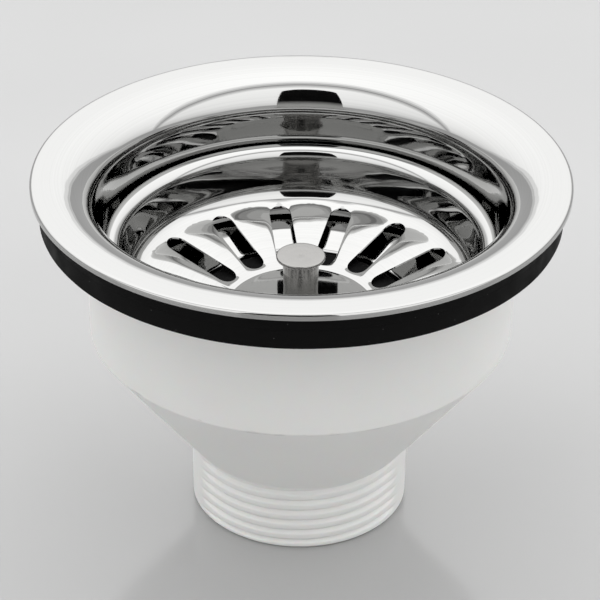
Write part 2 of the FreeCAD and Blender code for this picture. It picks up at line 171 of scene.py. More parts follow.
# %% [markdown]
# ## Sheet steel
#
# The cup and the basket are each drawn from one flat disc of stainless sheet, half a millimetre thick. They
# are drawn here as the upper side of the sheet alone. A Subdivision modifier smooths that side, because a
# mirror shows every flat. A Solidify modifier gives it the sheet's thickness, as even as real sheet, and a
# small Bevel breaks the cut edges so that they catch the light.

# %% Thickness for sheet
SHEET = 0.5
CUT_EDGE = 0.06


def thicken(piece):
    smooth = piece.modifiers.new("drawn_smooth", "SUBSURF")
    smooth.levels = smooth.render_levels = 1
    solid = piece.modifiers.new("sheet", "SOLIDIFY")
    solid.thickness = SHEET * MM
    solid.offset = -1
    solid.use_even_offset = True
    edges = piece.modifiers.new("cut_edges", "BEVEL")
    edges.width = CUT_EDGE * MM
    edges.segments = 2
    edges.limit_method = "ANGLE"
    edges.angle_limit = math.radians(50)
    edges.harden_normals = True


print("sheet:", SHEET, "mm thick, its cut edges broken by", CUT_EDGE, "mm")

# %% [markdown]
# ## Floors with holes
#
# The basket's floor has a ring of slots and the cup's floor a ring of drain holes, all punched. Cutting them
# with a Boolean would leave long thin faces, which show as creases on polished metal. Here each hole gets a
# collar of faces instead: one sector of the floor is drawn from the hole's outline out to the sector's own
# outline, and the sector is repeated round the axis. The rows lie close together at the hole, where the punch
# drew the edge down, and at the sector's outline. Points along a side crowd towards the outer end, where the
# floor turns up.

# %% A ring of punched holes
END_STEPS = 10
SIDE_STEPS, CROWDING = 12, 1.6
INWARD = [(k / SIDE_STEPS) ** CROWDING for k in range(SIDE_STEPS)]
OUTWARD = [1 - (1 - k / SIDE_STEPS) ** CROWDING for k in range(SIDE_STEPS)]
LAST_ROW = 7
CLOSE = 0.01
PUNCH_ROWS = [0.5 - 0.5 * math.cos(math.pi * k / LAST_ROW) for k in range(LAST_ROW + 1)]


def slot_outline(inner, outer, half_width, end_steps):
    """Outline of a slot that points along X: outer end, one side, inner end, other side."""
    def end(centre, first):
        return [Vector((centre + half_width * math.cos(a), half_width * math.sin(a)))
                for a in (first + math.pi * k / end_steps for k in range(end_steps))]

    def side(start, finish, across, shares):
        return [Vector((start + (finish - start) * share, across)) for share in shares]

    return (end(outer, -math.pi / 2) + side(outer, inner, half_width, INWARD)
            + end(inner, math.pi / 2) + side(inner, outer, -half_width, OUTWARD))


def sector_outline(inner, outer, half_angle, end_steps):
    """Outline of one sector of the floor, with as many points on each stretch as the slot's outline has."""
    def arc(radius, first, last):
        return [Vector((radius * math.cos(a), radius * math.sin(a)))
                for a in (first + (last - first) * k / end_steps for k in range(end_steps))]

    def spoke(start, finish, angle, shares):
        return [Vector((r * math.cos(angle), r * math.sin(angle)))
                for r in (start + (finish - start) * share for share in shares)]

    return (arc(outer, -half_angle, half_angle) + spoke(outer, inner, half_angle, INWARD)
            + arc(inner, half_angle, -half_angle) + spoke(inner, outer, -half_angle, OUTWARD))


def punch_ring(mesh, count, first_angle, hole, sector, height):
    """Add the pierced ring: height(point) gives the sheet's upper side, in mm, for a sector along X."""
    for k in range(count):
        about = Matrix.Rotation(first_angle + math.tau * k / count, 2)
        rows = []
        for share in PUNCH_ROWS:
            flat = [edge.lerp(rim, share) for edge, rim in zip(hole, sector)]
            rows.append([mesh.verts.new((*(about @ p * MM), height(p) * MM)) for p in flat])
        for row, after in zip(rows, rows[1:]):
            for i in range(len(row)):
                j = (i + 1) % len(row)
                mesh.faces.new([row[i], after[i], after[j], row[j]])


def height_on(section):
    """Height of a section at a radius, between the two points on either side of it."""
    def at(radius):
        for start, end in zip(section, section[1:]):
            if min(start.x, end.x) <= radius <= max(start.x, end.x) and start.x != end.x:
                return start.y + (end.y - start.y) * (radius - start.x) / (end.x - start.x)
        raise ValueError(f"the section has no point at radius {radius}")
    return at


def split_section(section, outer, inner):
    """The parts of a section outside and inside a pierced ring, each ending on the ring's edge."""
    at = height_on(section)
    outside = [p for p in section if p.x > outer + CLOSE] + [Vector((outer, at(outer)))]
    inside = [Vector((inner, at(inner)))] + [p for p in section if p.x < inner - CLOSE]
    return outside, inside


print("collar of a hole:", len(PUNCH_ROWS), "rows of", 2 * (END_STEPS + SIDE_STEPS), "points")

# %% [markdown]
# ## Flange
#
# The cup that shows in the sink: a flat rim with its edge turned down, a wide bend, an upright wall, a coned
# floor and, under the basket, a well with six drain holes that the rubber disc closes. The rim's size and
# height are read from the model's own node, and the section's other sizes are what the press tool would be
# made to.

# %% Flange section
flange_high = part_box("flange")[1]
RIM_RADIUS = flange_high.x / MM
RIM_TOP = flange_high.z / MM
EDGE_DROP, EDGE_BEND = 1.4, 0.75
CUP_RADIUS, RIM_BEND = 42.9, 9.0
FLOOR_EDGE, WALL_CORNER = 52.6, 8.0
WELL_RADIUS, WELL_MOUTH, WELL_BEND = 25.5, 47.0, 1.2
WELL_SEAT, SEAT_CORNER = 43.05, 1.0
SEAT_INSIDE, SEAT_BEND = 20.0, 1.5
HUB_SEAT_RADIUS, HUB_SEAT = 9.5, 39.4
BOLT_HOLE = 5.1

flange_section = rounded([
    (RIM_RADIUS, RIM_TOP - EDGE_DROP),
    (RIM_RADIUS, RIM_TOP, EDGE_BEND),
    (CUP_RADIUS, RIM_TOP, RIM_BEND),
    (CUP_RADIUS, FLOOR_EDGE, WALL_CORNER),
    (WELL_RADIUS, WELL_MOUTH, WELL_BEND),
    (WELL_RADIUS, WELL_SEAT, SEAT_CORNER),
    (SEAT_INSIDE, WELL_SEAT, SEAT_BEND),
    (HUB_SEAT_RADIUS, HUB_SEAT, SEAT_BEND),
    (BOLT_HOLE, HUB_SEAT),
])
print("flange section:", len(flange_section), "points")

# %% Flange
DRAIN_HOLES, DRAIN_HOLE_RADIUS = 6, 4.3
DRAIN_MARGIN, DRAIN_STEPS = 0.8, 14
NO_LENGTH = 1e-4
drain_circle = (SEAT_INSIDE + HUB_SEAT_RADIUS) / 2
drain_ring = (HUB_SEAT_RADIUS + DRAIN_MARGIN, SEAT_INSIDE - DRAIN_MARGIN)
drain_angles = ring_angles(DRAIN_HOLES * DRAIN_STEPS, -math.pi / DRAIN_HOLES)
outside, inside = split_section(flange_section, drain_ring[1], drain_ring[0])
drain_height = height_on(flange_section)

flange_mesh = bmesh.new()
spin(flange_mesh, outside, drain_angles)
punch_ring(flange_mesh, DRAIN_HOLES, 0.0,
           slot_outline(drain_circle, drain_circle + NO_LENGTH, DRAIN_HOLE_RADIUS, DRAIN_STEPS),
           sector_outline(*drain_ring, math.pi / DRAIN_HOLES, DRAIN_STEPS),
           lambda p: drain_height(p.length))
spin(flange_mesh, inside, drain_angles)
flange = piece_from(flange_mesh, "flange_pressing", "waste", "flange")
thicken(flange)

# %% [markdown]
# ## Basket
#
# The strainer basket is the piece that took the most skill to make: a rim turned down at its edge, a round
# shoulder, an upright wall, a coned floor and fifteen slots punched through the cone. Punching pulls the
# sheet down a little round each slot, and on polished metal that small dish bends every reflection, so the
# floor's height carries it.

# %% Basket section
basket_low, basket_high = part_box("basket")
BASKET_RADIUS = basket_high.x / MM
BASKET_TOP = basket_high.z / MM
BASKET_FLOOR = basket_low.z / MM + SHEET
BEAD, BEAD_DROP, SHOULDER = 1.1, 0.5, 2.6
SHOULDER_RADIUS = BASKET_RADIUS - 3.8
FOOT_RADIUS, FOOT_HEIGHT = 38.0, BASKET_FLOOR + 5.85
FLOOR_BEND = 4.0
DISC_RADIUS = 15.6
TAIL_HOLE = 2.1

basket_section = rounded([
    (BASKET_RADIUS, BASKET_TOP - BEAD - BEAD_DROP),
    (BASKET_RADIUS, BASKET_TOP, BEAD),
    (SHOULDER_RADIUS, BASKET_TOP, SHOULDER),
    (FOOT_RADIUS, FOOT_HEIGHT, FLOOR_BEND),
    (DISC_RADIUS, BASKET_FLOOR, FLOOR_BEND),
    (TAIL_HOLE, BASKET_FLOOR),
])
print("basket section:", len(basket_section), "points")

# %% Pressed floor
SLOTS, SLOT_TURN = 15, math.radians(2.3)
SLOT_INNER, SLOT_OUTER, SLOT_HALF = 20.0, 32.9, 2.45
DISH_DEPTH, DISH_SPREAD, DISH_FADE = 0.16, 2.0, 2.0
ROLL_DEPTH, ROLL_SPREAD = 0.12, 0.3
DISC_MARGIN, FOOT_MARGIN = 0.7, 1.2
slot_ring = (DISC_RADIUS + DISC_MARGIN, FOOT_RADIUS - FOOT_MARGIN)
floor_height = height_on([p for p in basket_section if p.x < FOOT_RADIUS])
half_sector = math.pi / SLOTS
to_neighbours = [Matrix.Rotation(2 * half_sector * k, 2) for k in (-1, 0, 1)]


def smooth_share(value, zero, one):
    """0 to 1 as a value goes from one bound to the other, easing in and out."""
    share = min(max((value - zero) / (one - zero), 0.0), 1.0)
    return share * share * (3 - 2 * share)


def slot_distance(p):
    """How far a point of the floor is from the slot's edge."""
    along = min(max(p.x, SLOT_INNER), SLOT_OUTER)
    return max((p - Vector((along, 0))).length - SLOT_HALF, 0.0)


def pressed_floor(p):
    """Cone of the floor, dished towards a slot and its neighbours and rolled over at their edges."""
    gaps = [slot_distance(about @ p) for about in to_neighbours]
    sink = sum(DISH_DEPTH * math.exp(-(gap / DISH_SPREAD) ** 2)
               + ROLL_DEPTH * math.exp(-(gap / ROLL_SPREAD) ** 2) for gap in gaps)
    from_edge = min(p.length - slot_ring[0], slot_ring[1] - p.length)
    return floor_height(p.length) - sink * smooth_share(from_edge, 0.0, DISH_FADE)


print("slots:", SLOTS, "each", round(SLOT_OUTER - SLOT_INNER + 2 * SLOT_HALF, 1), "by", 2 * SLOT_HALF, "mm")

# %% Basket
slot_angles = ring_angles(SLOTS * END_STEPS, SLOT_TURN - half_sector)
outside, inside = split_section(basket_section, slot_ring[1], slot_ring[0])

basket_mesh = bmesh.new()
spin(basket_mesh, outside, slot_angles)
punch_ring(basket_mesh, SLOTS, SLOT_TURN,
           slot_outline(SLOT_INNER, SLOT_OUTER, SLOT_HALF, END_STEPS),
           sector_outline(*slot_ring, half_sector, END_STEPS), pressed_floor)
spin(basket_mesh, inside, slot_angles)
basket = piece_from(basket_mesh, "basket_pressing", "strainer", "basket")
thicken(basket)

# %% [markdown]
# ## Knob
#
# The lift knob is a post turned from bar: a thin round head with broken edges, a neck that narrows to a waist
# and spreads at the foot, and a tail through the basket. A cylinder for each would leave hard joints between
# them, so one section gives all of it, out from the axis and back to it.

# %% Knob
knob_low, knob_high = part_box("knob")
KNOB_TOP = knob_high.z / MM
KNOB_TAIL = knob_low.z / MM
HEAD_RADIUS, HEAD_EDGE = knob_high.x / MM, 0.35
HEAD_BASE = KNOB_TOP - 0.9
MARK_RADIUS, MARK_DEPTH, MARK_EDGE = 0.3, 0.16, 0.1
NECK_RADIUS, NECK_CORNER = 3.95, 0.5
WAIST_RADIUS, WAIST_HEIGHT, WAIST_BEND = 3.65, BASKET_FLOOR + 2.8, 7.0
KNOB_FOOT, TAIL_RADIUS = 4.5, 2.0
KNOB_STEPS = 128

knob_mesh = bmesh.new()
knob_section = rounded([
    (0, KNOB_TOP - MARK_DEPTH),
    (MARK_RADIUS, KNOB_TOP, MARK_EDGE),
    (HEAD_RADIUS, KNOB_TOP, HEAD_EDGE),
    (HEAD_RADIUS, HEAD_BASE, HEAD_EDGE),
    (NECK_RADIUS, HEAD_BASE, NECK_CORNER),
    (WAIST_RADIUS, WAIST_HEIGHT, WAIST_BEND),
    (KNOB_FOOT, BASKET_FLOOR),
    (TAIL_RADIUS, BASKET_FLOOR),
    (TAIL_RADIUS, KNOB_TAIL),
    (0, KNOB_TAIL),
])
spin(knob_mesh, knob_section, ring_angles(KNOB_STEPS))
bmesh.ops.recalc_face_normals(knob_mesh, faces=knob_mesh.faces)
knob = piece_from(knob_mesh, "knob_post", "strainer", "knob")
knob.data.set_sharp_from_angle(angle=math.radians(50))

# %% [markdown]
# ## Rubber
#
# Two flat rings seal the sink, one above it and one below. A lipped disc under the basket closes the drain
# holes. All three are moulded, so their edges are softly rounded. The sides of the two rings are not quite
# true: a slow wave of about a tenth of a millimetre keeps the black edge from looking machined.

# %% Gaskets and plug disc
RUBBER_STEPS = 240
WAVE_PEAK = 2.6


def moulded(name, body, node, corners, wave=0.0):
    """A closed ring of rubber. Its three waves add up to WAVE_PEAK at most, so a side only moves inwards."""
    def wavy(angle, radius, height):
        slow = (math.sin(5 * angle + 0.7) + math.sin(11 * angle + height)
                + 0.6 * math.sin(23 * angle - 2 * height))
        return radius + wave * (slow - WAVE_PEAK) / WAVE_PEAK

    mesh = bmesh.new()
    spin(mesh, rounded(corners, closed=True), ring_angles(RUBBER_STEPS), closed=True, shaped=wavy)
    bmesh.ops.recalc_face_normals(mesh, faces=mesh.faces)
    piece = piece_from(mesh, name, body, node)
    piece.data.set_sharp_from_angle(angle=math.radians(60))
    return piece


upper_low, upper_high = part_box("upper_seal")
lower_low, lower_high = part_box("lower_seal")
plug_low, plug_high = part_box("plug_seal")
SEAL_RADIUS = upper_high.x / MM
SEAL_INSIDE = 45.4
BEND_CENTRE = CUP_RADIUS + RIM_BEND
PLUG_RADIUS = plug_high.x / MM
SEAL_WAVE = 0.06
SOFT_EDGE, PRESSED_EDGE = 0.5, 0.06
LIP_WIDTH, LIP_DEPTH, LIP_CORNER, DISC_EDGE = 3.5, 1.0, 0.4, 0.6
upper_seal = moulded("upper_gasket", "waste", "upper_seal", [
    (SEAL_INSIDE, upper_low.z / MM),
    (SEAL_RADIUS, upper_low.z / MM, PRESSED_EDGE),
    (SEAL_RADIUS, upper_high.z / MM, SOFT_EDGE),
    (BEND_CENTRE, upper_high.z / MM),
], SEAL_WAVE)
lower_seal = moulded("lower_gasket", "waste", "lower_seal", [
    (SEAL_INSIDE, lower_low.z / MM),
    (SEAL_RADIUS, lower_low.z / MM, SOFT_EDGE),
    (SEAL_RADIUS, lower_high.z / MM, PRESSED_EDGE),
    (SEAL_INSIDE, lower_high.z / MM),
], SEAL_WAVE)
plug_seal = moulded("plug_disc", "strainer", "plug_seal", [
    (TAIL_HOLE, plug_low.z / MM + LIP_DEPTH),
    (PLUG_RADIUS - LIP_WIDTH, plug_low.z / MM + LIP_DEPTH, LIP_CORNER),
    (PLUG_RADIUS - LIP_WIDTH, plug_low.z / MM, LIP_CORNER),
    (PLUG_RADIUS, plug_low.z / MM, DISC_EDGE),
    (PLUG_RADIUS, plug_high.z / MM, DISC_EDGE),
    (TAIL_HOLE, plug_high.z / MM),
])

# %% [markdown]
# ## Plastic body
#
# One moulding in white polypropylene: a lip under the gasket, a drum round the cup, a cone and an outlet with
# a rounded pipe thread. The thread stops short of the mould's parting line on both sides, so that the two
# halves of the mould can open. It could be cut with a Boolean and a helix. Here the outlet's own rings move
# inwards along the helix, which gives clean rows of faces and a thread that fades out smoothly.

# %% Outlet thread
OUTLET_RADIUS, OUTLET_LENGTH = 23.9, 16.5
THREAD_PITCH, THREAD_DEPTH, THREAD_NARROWNESS = 2.6, 0.85, 3.2
THREAD_STARTS, THREAD_ENDS = (0.9, 2.0), (15.5, 16.4)
THREAD_FULL, THREAD_GONE = math.radians(48), math.radians(68)


def threaded(angle, radius, height):
    """Radius on the outlet: grooves along a right-handed helix, faded at both ends and at the parting line."""
    if abs(radius - OUTLET_RADIUS) > CLOSE:
        return radius
    phase = height / THREAD_PITCH - angle / math.tau
    groove = (0.5 + 0.5 * math.cos(math.tau * phase)) ** THREAD_NARROWNESS
    from_front = abs((angle % math.pi) - math.pi / 2)
    round_fade = 1 - smooth_share(from_front, THREAD_FULL, THREAD_GONE)
    end_fade = smooth_share(height, *THREAD_STARTS) * (1 - smooth_share(height, *THREAD_ENDS))
    return radius - THREAD_DEPTH * groove * round_fade * end_fade


print("thread:", round((THREAD_ENDS[1] - THREAD_STARTS[0]) / THREAD_PITCH, 1), "turns")

# %% Body section
body_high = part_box("waste_body")[1]
OUTLET_BORE, OUTLET_BEVEL = 20.0, 0.7
CONE_FOOT_RADIUS, CONE_WALL = 24.5, 3.0
DRUM_BASE, DRUM_RADIUS, DRUM_BORE = 44.95, 45.6, 43.6
LIP_RADIUS, LIP_THICKNESS = body_high.x / MM, 2.0
BODY_TOP = body_high.z / MM
cone_rise = (DRUM_BASE - OUTLET_LENGTH) / (DRUM_RADIUS - CONE_FOOT_RADIUS)
cone_top = DRUM_BASE + (CONE_WALL - (DRUM_RADIUS - DRUM_BORE)) * cone_rise
cone_foot = OUTLET_LENGTH + (OUTLET_BORE + CONE_WALL - CONE_FOOT_RADIUS) * cone_rise


def cone_inside(height):
    return CONE_FOOT_RADIUS + (height - OUTLET_LENGTH) / cone_rise - CONE_WALL


shell_section = rounded([
    (OUTLET_RADIUS, OUTLET_LENGTH),
    (CONE_FOOT_RADIUS, OUTLET_LENGTH, 0.15),
    (DRUM_RADIUS, DRUM_BASE, 0.8),
    (DRUM_RADIUS, BODY_TOP - LIP_THICKNESS, 1.0),
    (LIP_RADIUS, BODY_TOP - LIP_THICKNESS, 0.4),
    (LIP_RADIUS, BODY_TOP, 0.3),
    (DRUM_BORE, BODY_TOP, 0.4),
    (DRUM_BORE, cone_top, 1.0),
    (OUTLET_BORE, cone_foot, 3.0),
    (OUTLET_BORE, 0, 0.3),
    (OUTLET_RADIUS - OUTLET_BEVEL, 0, 0.15),
    (OUTLET_RADIUS, OUTLET_BEVEL),
])
print("cone meets the bore at", round(cone_foot, 2), "mm and the drum at", round(cone_top, 2), "mm")

# %% Body shell
THREAD_ROW, BODY_STEPS = 0.12, 288
outlet_ends = [Vector((OUTLET_RADIUS, OUTLET_BEVEL)), Vector((OUTLET_RADIUS, OUTLET_LENGTH))]
outlet = evened(outlet_ends, THREAD_ROW)
body_mesh = bmesh.new()
spin(body_mesh, outlet + shell_section[1:-1], ring_angles(BODY_STEPS), closed=True, shaped=threaded)
print("body shell:", len(body_mesh.faces), "faces")

# %% [markdown]
# ## Hub and webs
#
# Inside the cone four webs carry a hub with a pocket for the nut. They are only seen through the outlet. The
# hub is spun between its outer wall and the pocket. The pocket's six flats are made as the thread is, by a
# function that changes the radius: it moves the inner wall's points on to a hexagon.

# %% Hub and webs
nut_low, nut_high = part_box("clamp_nut")
HUB_BASE, NUT_ROOF = nut_low.z / MM, nut_high.z / MM
HUB_TOP = HUB_SEAT - SHEET
NUT_FLATS = 16.2
HUB_RADIUS, HUB_STEPS = 11.44, 144
WEB_TOP = HUB_TOP - 2.0
WEBS, WEB_HALF = 4, 1.3
IN_HUB, IN_CONE = 0.6, 1.0
SIXTH = math.tau / 6


def hexagonal(angle, radius, height):
    """Points on the pocket's wall, marked by its flats' radius, go out to the hexagon."""
    if abs(radius - NUT_FLATS / 2) > CLOSE:
        return radius
    return radius / math.cos((angle % SIXTH) - SIXTH / 2)


hub_corners = [
    (HUB_RADIUS, HUB_BASE, 0.3),
    (HUB_RADIUS, HUB_TOP, 0.3),
    (BOLT_HOLE, HUB_TOP),
    (BOLT_HOLE, NUT_ROOF),
    (NUT_FLATS / 2, NUT_ROOF),
    (NUT_FLATS / 2, HUB_BASE),
]
spin(body_mesh, rounded(hub_corners, closed=True), ring_angles(HUB_STEPS), closed=True, shaped=hexagonal)
for k in range(WEBS):
    about = Matrix.Rotation(math.tau * k / WEBS, 3, "Z")
    outline = [(HUB_RADIUS - IN_HUB, HUB_BASE), (cone_inside(HUB_BASE) + IN_CONE, HUB_BASE),
               (cone_inside(WEB_TOP) + IN_CONE, WEB_TOP), (HUB_RADIUS - IN_HUB, WEB_TOP)]
    sides = [[body_mesh.verts.new(about @ Vector((r, across, z)) * MM) for r, z in outline]
             for across in (-WEB_HALF, WEB_HALF)]
    body_mesh.faces.new(sides[0])
    body_mesh.faces.new(sides[1])
    for i in range(len(outline)):
        j = (i + 1) % len(outline)
        body_mesh.faces.new([sides[0][i], sides[0][j], sides[1][j], sides[1][i]])
bmesh.ops.recalc_face_normals(body_mesh, faces=body_mesh.faces)
waste_body = piece_from(body_mesh, "body_moulding", "waste", "waste_body")
waste_body.data.set_sharp_from_angle(angle=math.radians(40))

# %% [markdown]
# ## Colours and nodes
#
# Colours are written as sRGB hex values, the way a picker shows them, and one function turns them to the
# linear values that shaders use. One more function adds any node with its settings and links, so that each
# material below reads as a list of what it is made from.

# %% Helpers for materials
def colour(hex_code):
    """Linear RGBA from an sRGB hex code."""
    parts = [int(hex_code[i:i + 2], 16) / 255 for i in (1, 3, 5)]
    return [p / 12.92 if p <= 0.04045 else ((p + 0.055) / 1.055) ** 2.4 for p in parts] + [1.0]


def add(tree, kind, links=None, **settings):
    """Add a node. links fills its inputs with values or other nodes' outputs, settings its own properties."""
    node = tree.nodes.new(kind)
    for name, value in settings.items():
        setattr(node, name, value)
    for socket, value in (links or {}).items():
        if isinstance(value, bpy.types.NodeSocket):
            tree.links.new(value, node.inputs[socket])
        else:
            node.inputs[socket].default_value = value
    return node


def start_material(name, **sockets):
    """A new material with a Principled shader, whose constant sockets are set directly."""
    material = bpy.data.materials.new(name)
    material.use_nodes = True
    tree = material.node_tree
    shader = tree.nodes["Principled BSDF"]
    for socket, value in sockets.items():
        shader.inputs[socket.replace("_", " ")].default_value = value
    return material, tree, shader


def per_mm(size):
    """Scale of a texture, in metres, whose features are about this many millimetres across."""
    return 1 / (size * MM)


def dress(material, *pieces):
    for piece in pieces:
        piece.data.materials.clear()
        piece.data.materials.append(material)
    print(material.name, "on", ", ".join(piece.name for piece in pieces))


print("a middle grey, #808080, is", round(colour("#808080")[0], 3), "in linear light")

# %% [markdown]
# ## Polished stainless sheet
#
# Grade 304 stainless sheet, deep drawn and then buffed on a wheel while it turns. To the eye it is a slightly
# uneven mirror: buffing leaves hair-fine rings that blur reflections a little, drawing leaves a slow wave of
# a few millimetres, and a finger's grease changes the gloss in soft patches. Noise gives the wave and the
# patches, and noise drawn out round the axis gives the rings. The rings are a faint tint, not a bump, which
# would only sparkle. Real ones are too fine to show, so they are drawn coarser, about a third of a millimetre
# wide.

# %% Stainless material
steel_mat, tree, shader = start_material("stainless_304_drawn_and_buffed", Metallic=1.0)
place = add(tree, "ShaderNodeTexCoord").outputs["Object"]
split = add(tree, "ShaderNodeSeparateXYZ", {"Vector": place})
across = add(tree, "ShaderNodeVectorMath", {0: place, 1: (1, 1, 0)}, operation="MULTIPLY")
radius = add(tree, "ShaderNodeVectorMath", {0: across.outputs[0]}, operation="LENGTH")
rings = add(tree, "ShaderNodeCombineXYZ", {"X": radius.outputs["Value"], "Y": split.outputs["Z"]})
buffing = add(tree, "ShaderNodeTexNoise", {"Vector": rings.outputs[0], "Scale": per_mm(0.35), "Detail": 3.0})
patches = add(tree, "ShaderNodeTexNoise", {"Vector": place, "Scale": per_mm(14), "Detail": 4.0})
wave = add(tree, "ShaderNodeTexNoise", {"Vector": place, "Scale": per_mm(9), "Detail": 1.0})
gloss = add(tree, "ShaderNodeMapRange", {"Value": patches.outputs["Fac"], "From Min": 0.3, "From Max": 0.75,
                                         "To Min": 0.02, "To Max": 0.06})
tint = add(tree, "ShaderNodeMix", {"Factor": buffing.outputs["Fac"], "A": colour("#A6A6A5"),
                                   "B": colour("#B3B3B2")}, data_type="RGBA")
drawn = add(tree, "ShaderNodeBump", {"Height": wave.outputs["Fac"], "Strength": 0.10, "Distance": 0.4 * MM})
tree.links.new(tint.outputs["Result"], shader.inputs["Base Color"])
tree.links.new(gloss.outputs["Result"], shader.inputs["Roughness"])
tree.links.new(drawn.outputs["Normal"], shader.inputs["Normal"])
dress(steel_mat, flange, basket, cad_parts["seal_washer"])

# %% [markdown]
# ## Satin turned steel
#
# The knob, the bolt and the stem are turned from stainless bar and left as they come from the tool. The
# tool's feed leaves rings a tenth of a millimetre or two apart, which spread reflections into a soft, greyer
# sheen. The roughness gives that sheen. The rings are too fine to show, so the bump has them coarser, about
# 1.6 mm apart.

# %% Turned steel material
RING_STEP = 1.5708
BAND_RADIANS = 20  # a Wave texture of scale 1 turns this far in one unit
turned_mat, tree, shader = start_material("stainless_bar_turned", Metallic=1.0)
place = add(tree, "ShaderNodeTexCoord").outputs["Object"]
split = add(tree, "ShaderNodeSeparateXYZ", {"Vector": place})
across = add(tree, "ShaderNodeVectorMath", {0: place, 1: (1, 1, 0)}, operation="MULTIPLY")
radius = add(tree, "ShaderNodeVectorMath", {0: across.outputs[0]}, operation="LENGTH")
feed = add(tree, "ShaderNodeMath", {0: radius.outputs["Value"], 1: split.outputs["Z"]}, operation="ADD")
lines = add(tree, "ShaderNodeCombineXYZ", {"X": feed.outputs[0]})
tool = add(tree, "ShaderNodeTexWave", {"Vector": lines.outputs[0], "Distortion": 0.6,
                                       "Scale": per_mm(RING_STEP) * math.tau / BAND_RADIANS})
blotch = add(tree, "ShaderNodeTexNoise", {"Vector": place, "Scale": per_mm(2.5), "Detail": 4.0})
gloss = add(tree, "ShaderNodeMapRange", {"Value": blotch.outputs["Fac"], "From Min": 0.3, "From Max": 0.7,
                                         "To Min": 0.16, "To Max": 0.26})
tint = add(tree, "ShaderNodeMix", {"Factor": blotch.outputs["Fac"], "A": colour("#82817F"),
                                   "B": colour("#969593")}, data_type="RGBA")
rings_bump = add(tree, "ShaderNodeBump", {"Height": tool.outputs["Fac"], "Strength": 0.12,
                                          "Distance": 0.05 * MM})
tree.links.new(tint.outputs["Result"], shader.inputs["Base Color"])
tree.links.new(gloss.outputs["Result"], shader.inputs["Roughness"])
tree.links.new(rings_bump.outputs["Normal"], shader.inputs["Normal"])
dress(turned_mat, knob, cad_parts["centre_bolt"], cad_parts["guide_stem"])

# %% [markdown]
# ## White polypropylene
#
# Polypropylene, moulded and pigmented white. It has a satin skin and a little light goes in and comes out
# again.
# A faint grey band of painted shade, broken into streaks, darkens the colour along the crease between the drum
# and the cone. The skin's grain is too fine to show, so it is drawn coarser, half a millimetre wide.

# %% Plastic material
CREASE_SHADE_HALF = 0.45
plastic_mat, tree, shader = start_material("polypropylene_white_moulded", IOR=1.49, Subsurface_Weight=0.12,
                                           Subsurface_Scale=1.5 * MM)
place = add(tree, "ShaderNodeTexCoord").outputs["Object"]
split = add(tree, "ShaderNodeSeparateXYZ", {"Vector": place})
mottle = add(tree, "ShaderNodeTexNoise", {"Vector": place, "Scale": per_mm(18), "Detail": 3.0})
grain = add(tree, "ShaderNodeTexNoise", {"Vector": place, "Scale": per_mm(0.5), "Detail": 2.0})
# Painted shade: a grey band along the crease between the drum and the cone, broken into streaks of noise.
from_crease = add(tree, "ShaderNodeMath", {0: split.outputs["Z"], 1: DRUM_BASE * MM, 2: CREASE_SHADE_HALF * MM},
                  operation="COMPARE")
streak_place = add(tree, "ShaderNodeVectorMath", {0: place, 1: (1, 1, 6)}, operation="MULTIPLY")
streaks = add(tree, "ShaderNodeTexNoise", {"Vector": streak_place.outputs[0], "Scale": per_mm(6),
                                           "Detail": 4.0})
shade_streaks = add(tree, "ShaderNodeMapRange", {"Value": streaks.outputs["Fac"], "From Min": 0.55, "From Max": 0.68,
                                        "To Min": 0.0, "To Max": 0.3})
crease_shade = add(tree, "ShaderNodeMath", {0: from_crease.outputs[0], 1: shade_streaks.outputs["Result"]},
            operation="MULTIPLY")
white = add(tree, "ShaderNodeMix", {"Factor": mottle.outputs["Fac"], "A": colour("#F0F0EE"),
                                    "B": colour("#F5F5F3")}, data_type="RGBA")
white_and_crease_shade = add(tree, "ShaderNodeMix", {"Factor": crease_shade.outputs[0], "A": white.outputs["Result"],
                                     "B": colour("#6F6E6C")}, data_type="RGBA")
gloss = add(tree, "ShaderNodeMapRange", {"Value": mottle.outputs["Fac"], "From Min": 0.3, "From Max": 0.7,
                                         "To Min": 0.36, "To Max": 0.48})
skin = add(tree, "ShaderNodeBump", {"Height": grain.outputs["Fac"], "Strength": 0.06, "Distance": 0.05 * MM})
tree.links.new(white_and_crease_shade.outputs["Result"], shader.inputs["Base Color"])
tree.links.new(gloss.outputs["Result"], shader.inputs["Roughness"])
tree.links.new(skin.outputs["Normal"], shader.inputs["Normal"])
dress(plastic_mat, waste_body)

# %% [markdown]
# ## Black rubber
#
# Nitrile rubber, moulded and dusted with talc so that it lets go of the mould. It is nearly black and matt,
# with a fine grain and a few pale specks of dust all over. The grain is drawn coarser than real, 0.6 mm
# wide, because it wouldn't show otherwise.

# %% Rubber material
rubber_mat, tree, shader = start_material("nitrile_rubber_moulded", IOR=1.52, Specular_IOR_Level=0.07)
place = add(tree, "ShaderNodeTexCoord").outputs["Object"]
grain = add(tree, "ShaderNodeTexNoise", {"Vector": place, "Scale": per_mm(0.6), "Detail": 4.0})
cloud = add(tree, "ShaderNodeTexNoise", {"Vector": place, "Scale": per_mm(5), "Detail": 3.0})
dust = add(tree, "ShaderNodeTexVoronoi", {"Vector": place, "Scale": per_mm(2.2)})
speck = add(tree, "ShaderNodeMapRange", {"Value": dust.outputs["Distance"], "From Min": 0.03, "From Max": 0.07,
                                         "To Min": 0.25, "To Max": 0.0})
black = add(tree, "ShaderNodeMix", {"Factor": cloud.outputs["Fac"], "A": colour("#060606"),
                                    "B": colour("#101010")}, data_type="RGBA")
dusty = add(tree, "ShaderNodeMix", {"Factor": speck.outputs["Result"], "A": black.outputs["Result"],
                                    "B": colour("#8A8A88")}, data_type="RGBA")
gloss = add(tree, "ShaderNodeMapRange", {"Value": cloud.outputs["Fac"], "From Min": 0.3, "From Max": 0.7,
                                         "To Min": 0.5, "To Max": 0.72})
skin = add(tree, "ShaderNodeBump", {"Height": grain.outputs["Fac"], "Strength": 0.25, "Distance": 0.06 * MM})
tree.links.new(dusty.outputs["Result"], shader.inputs["Base Color"])
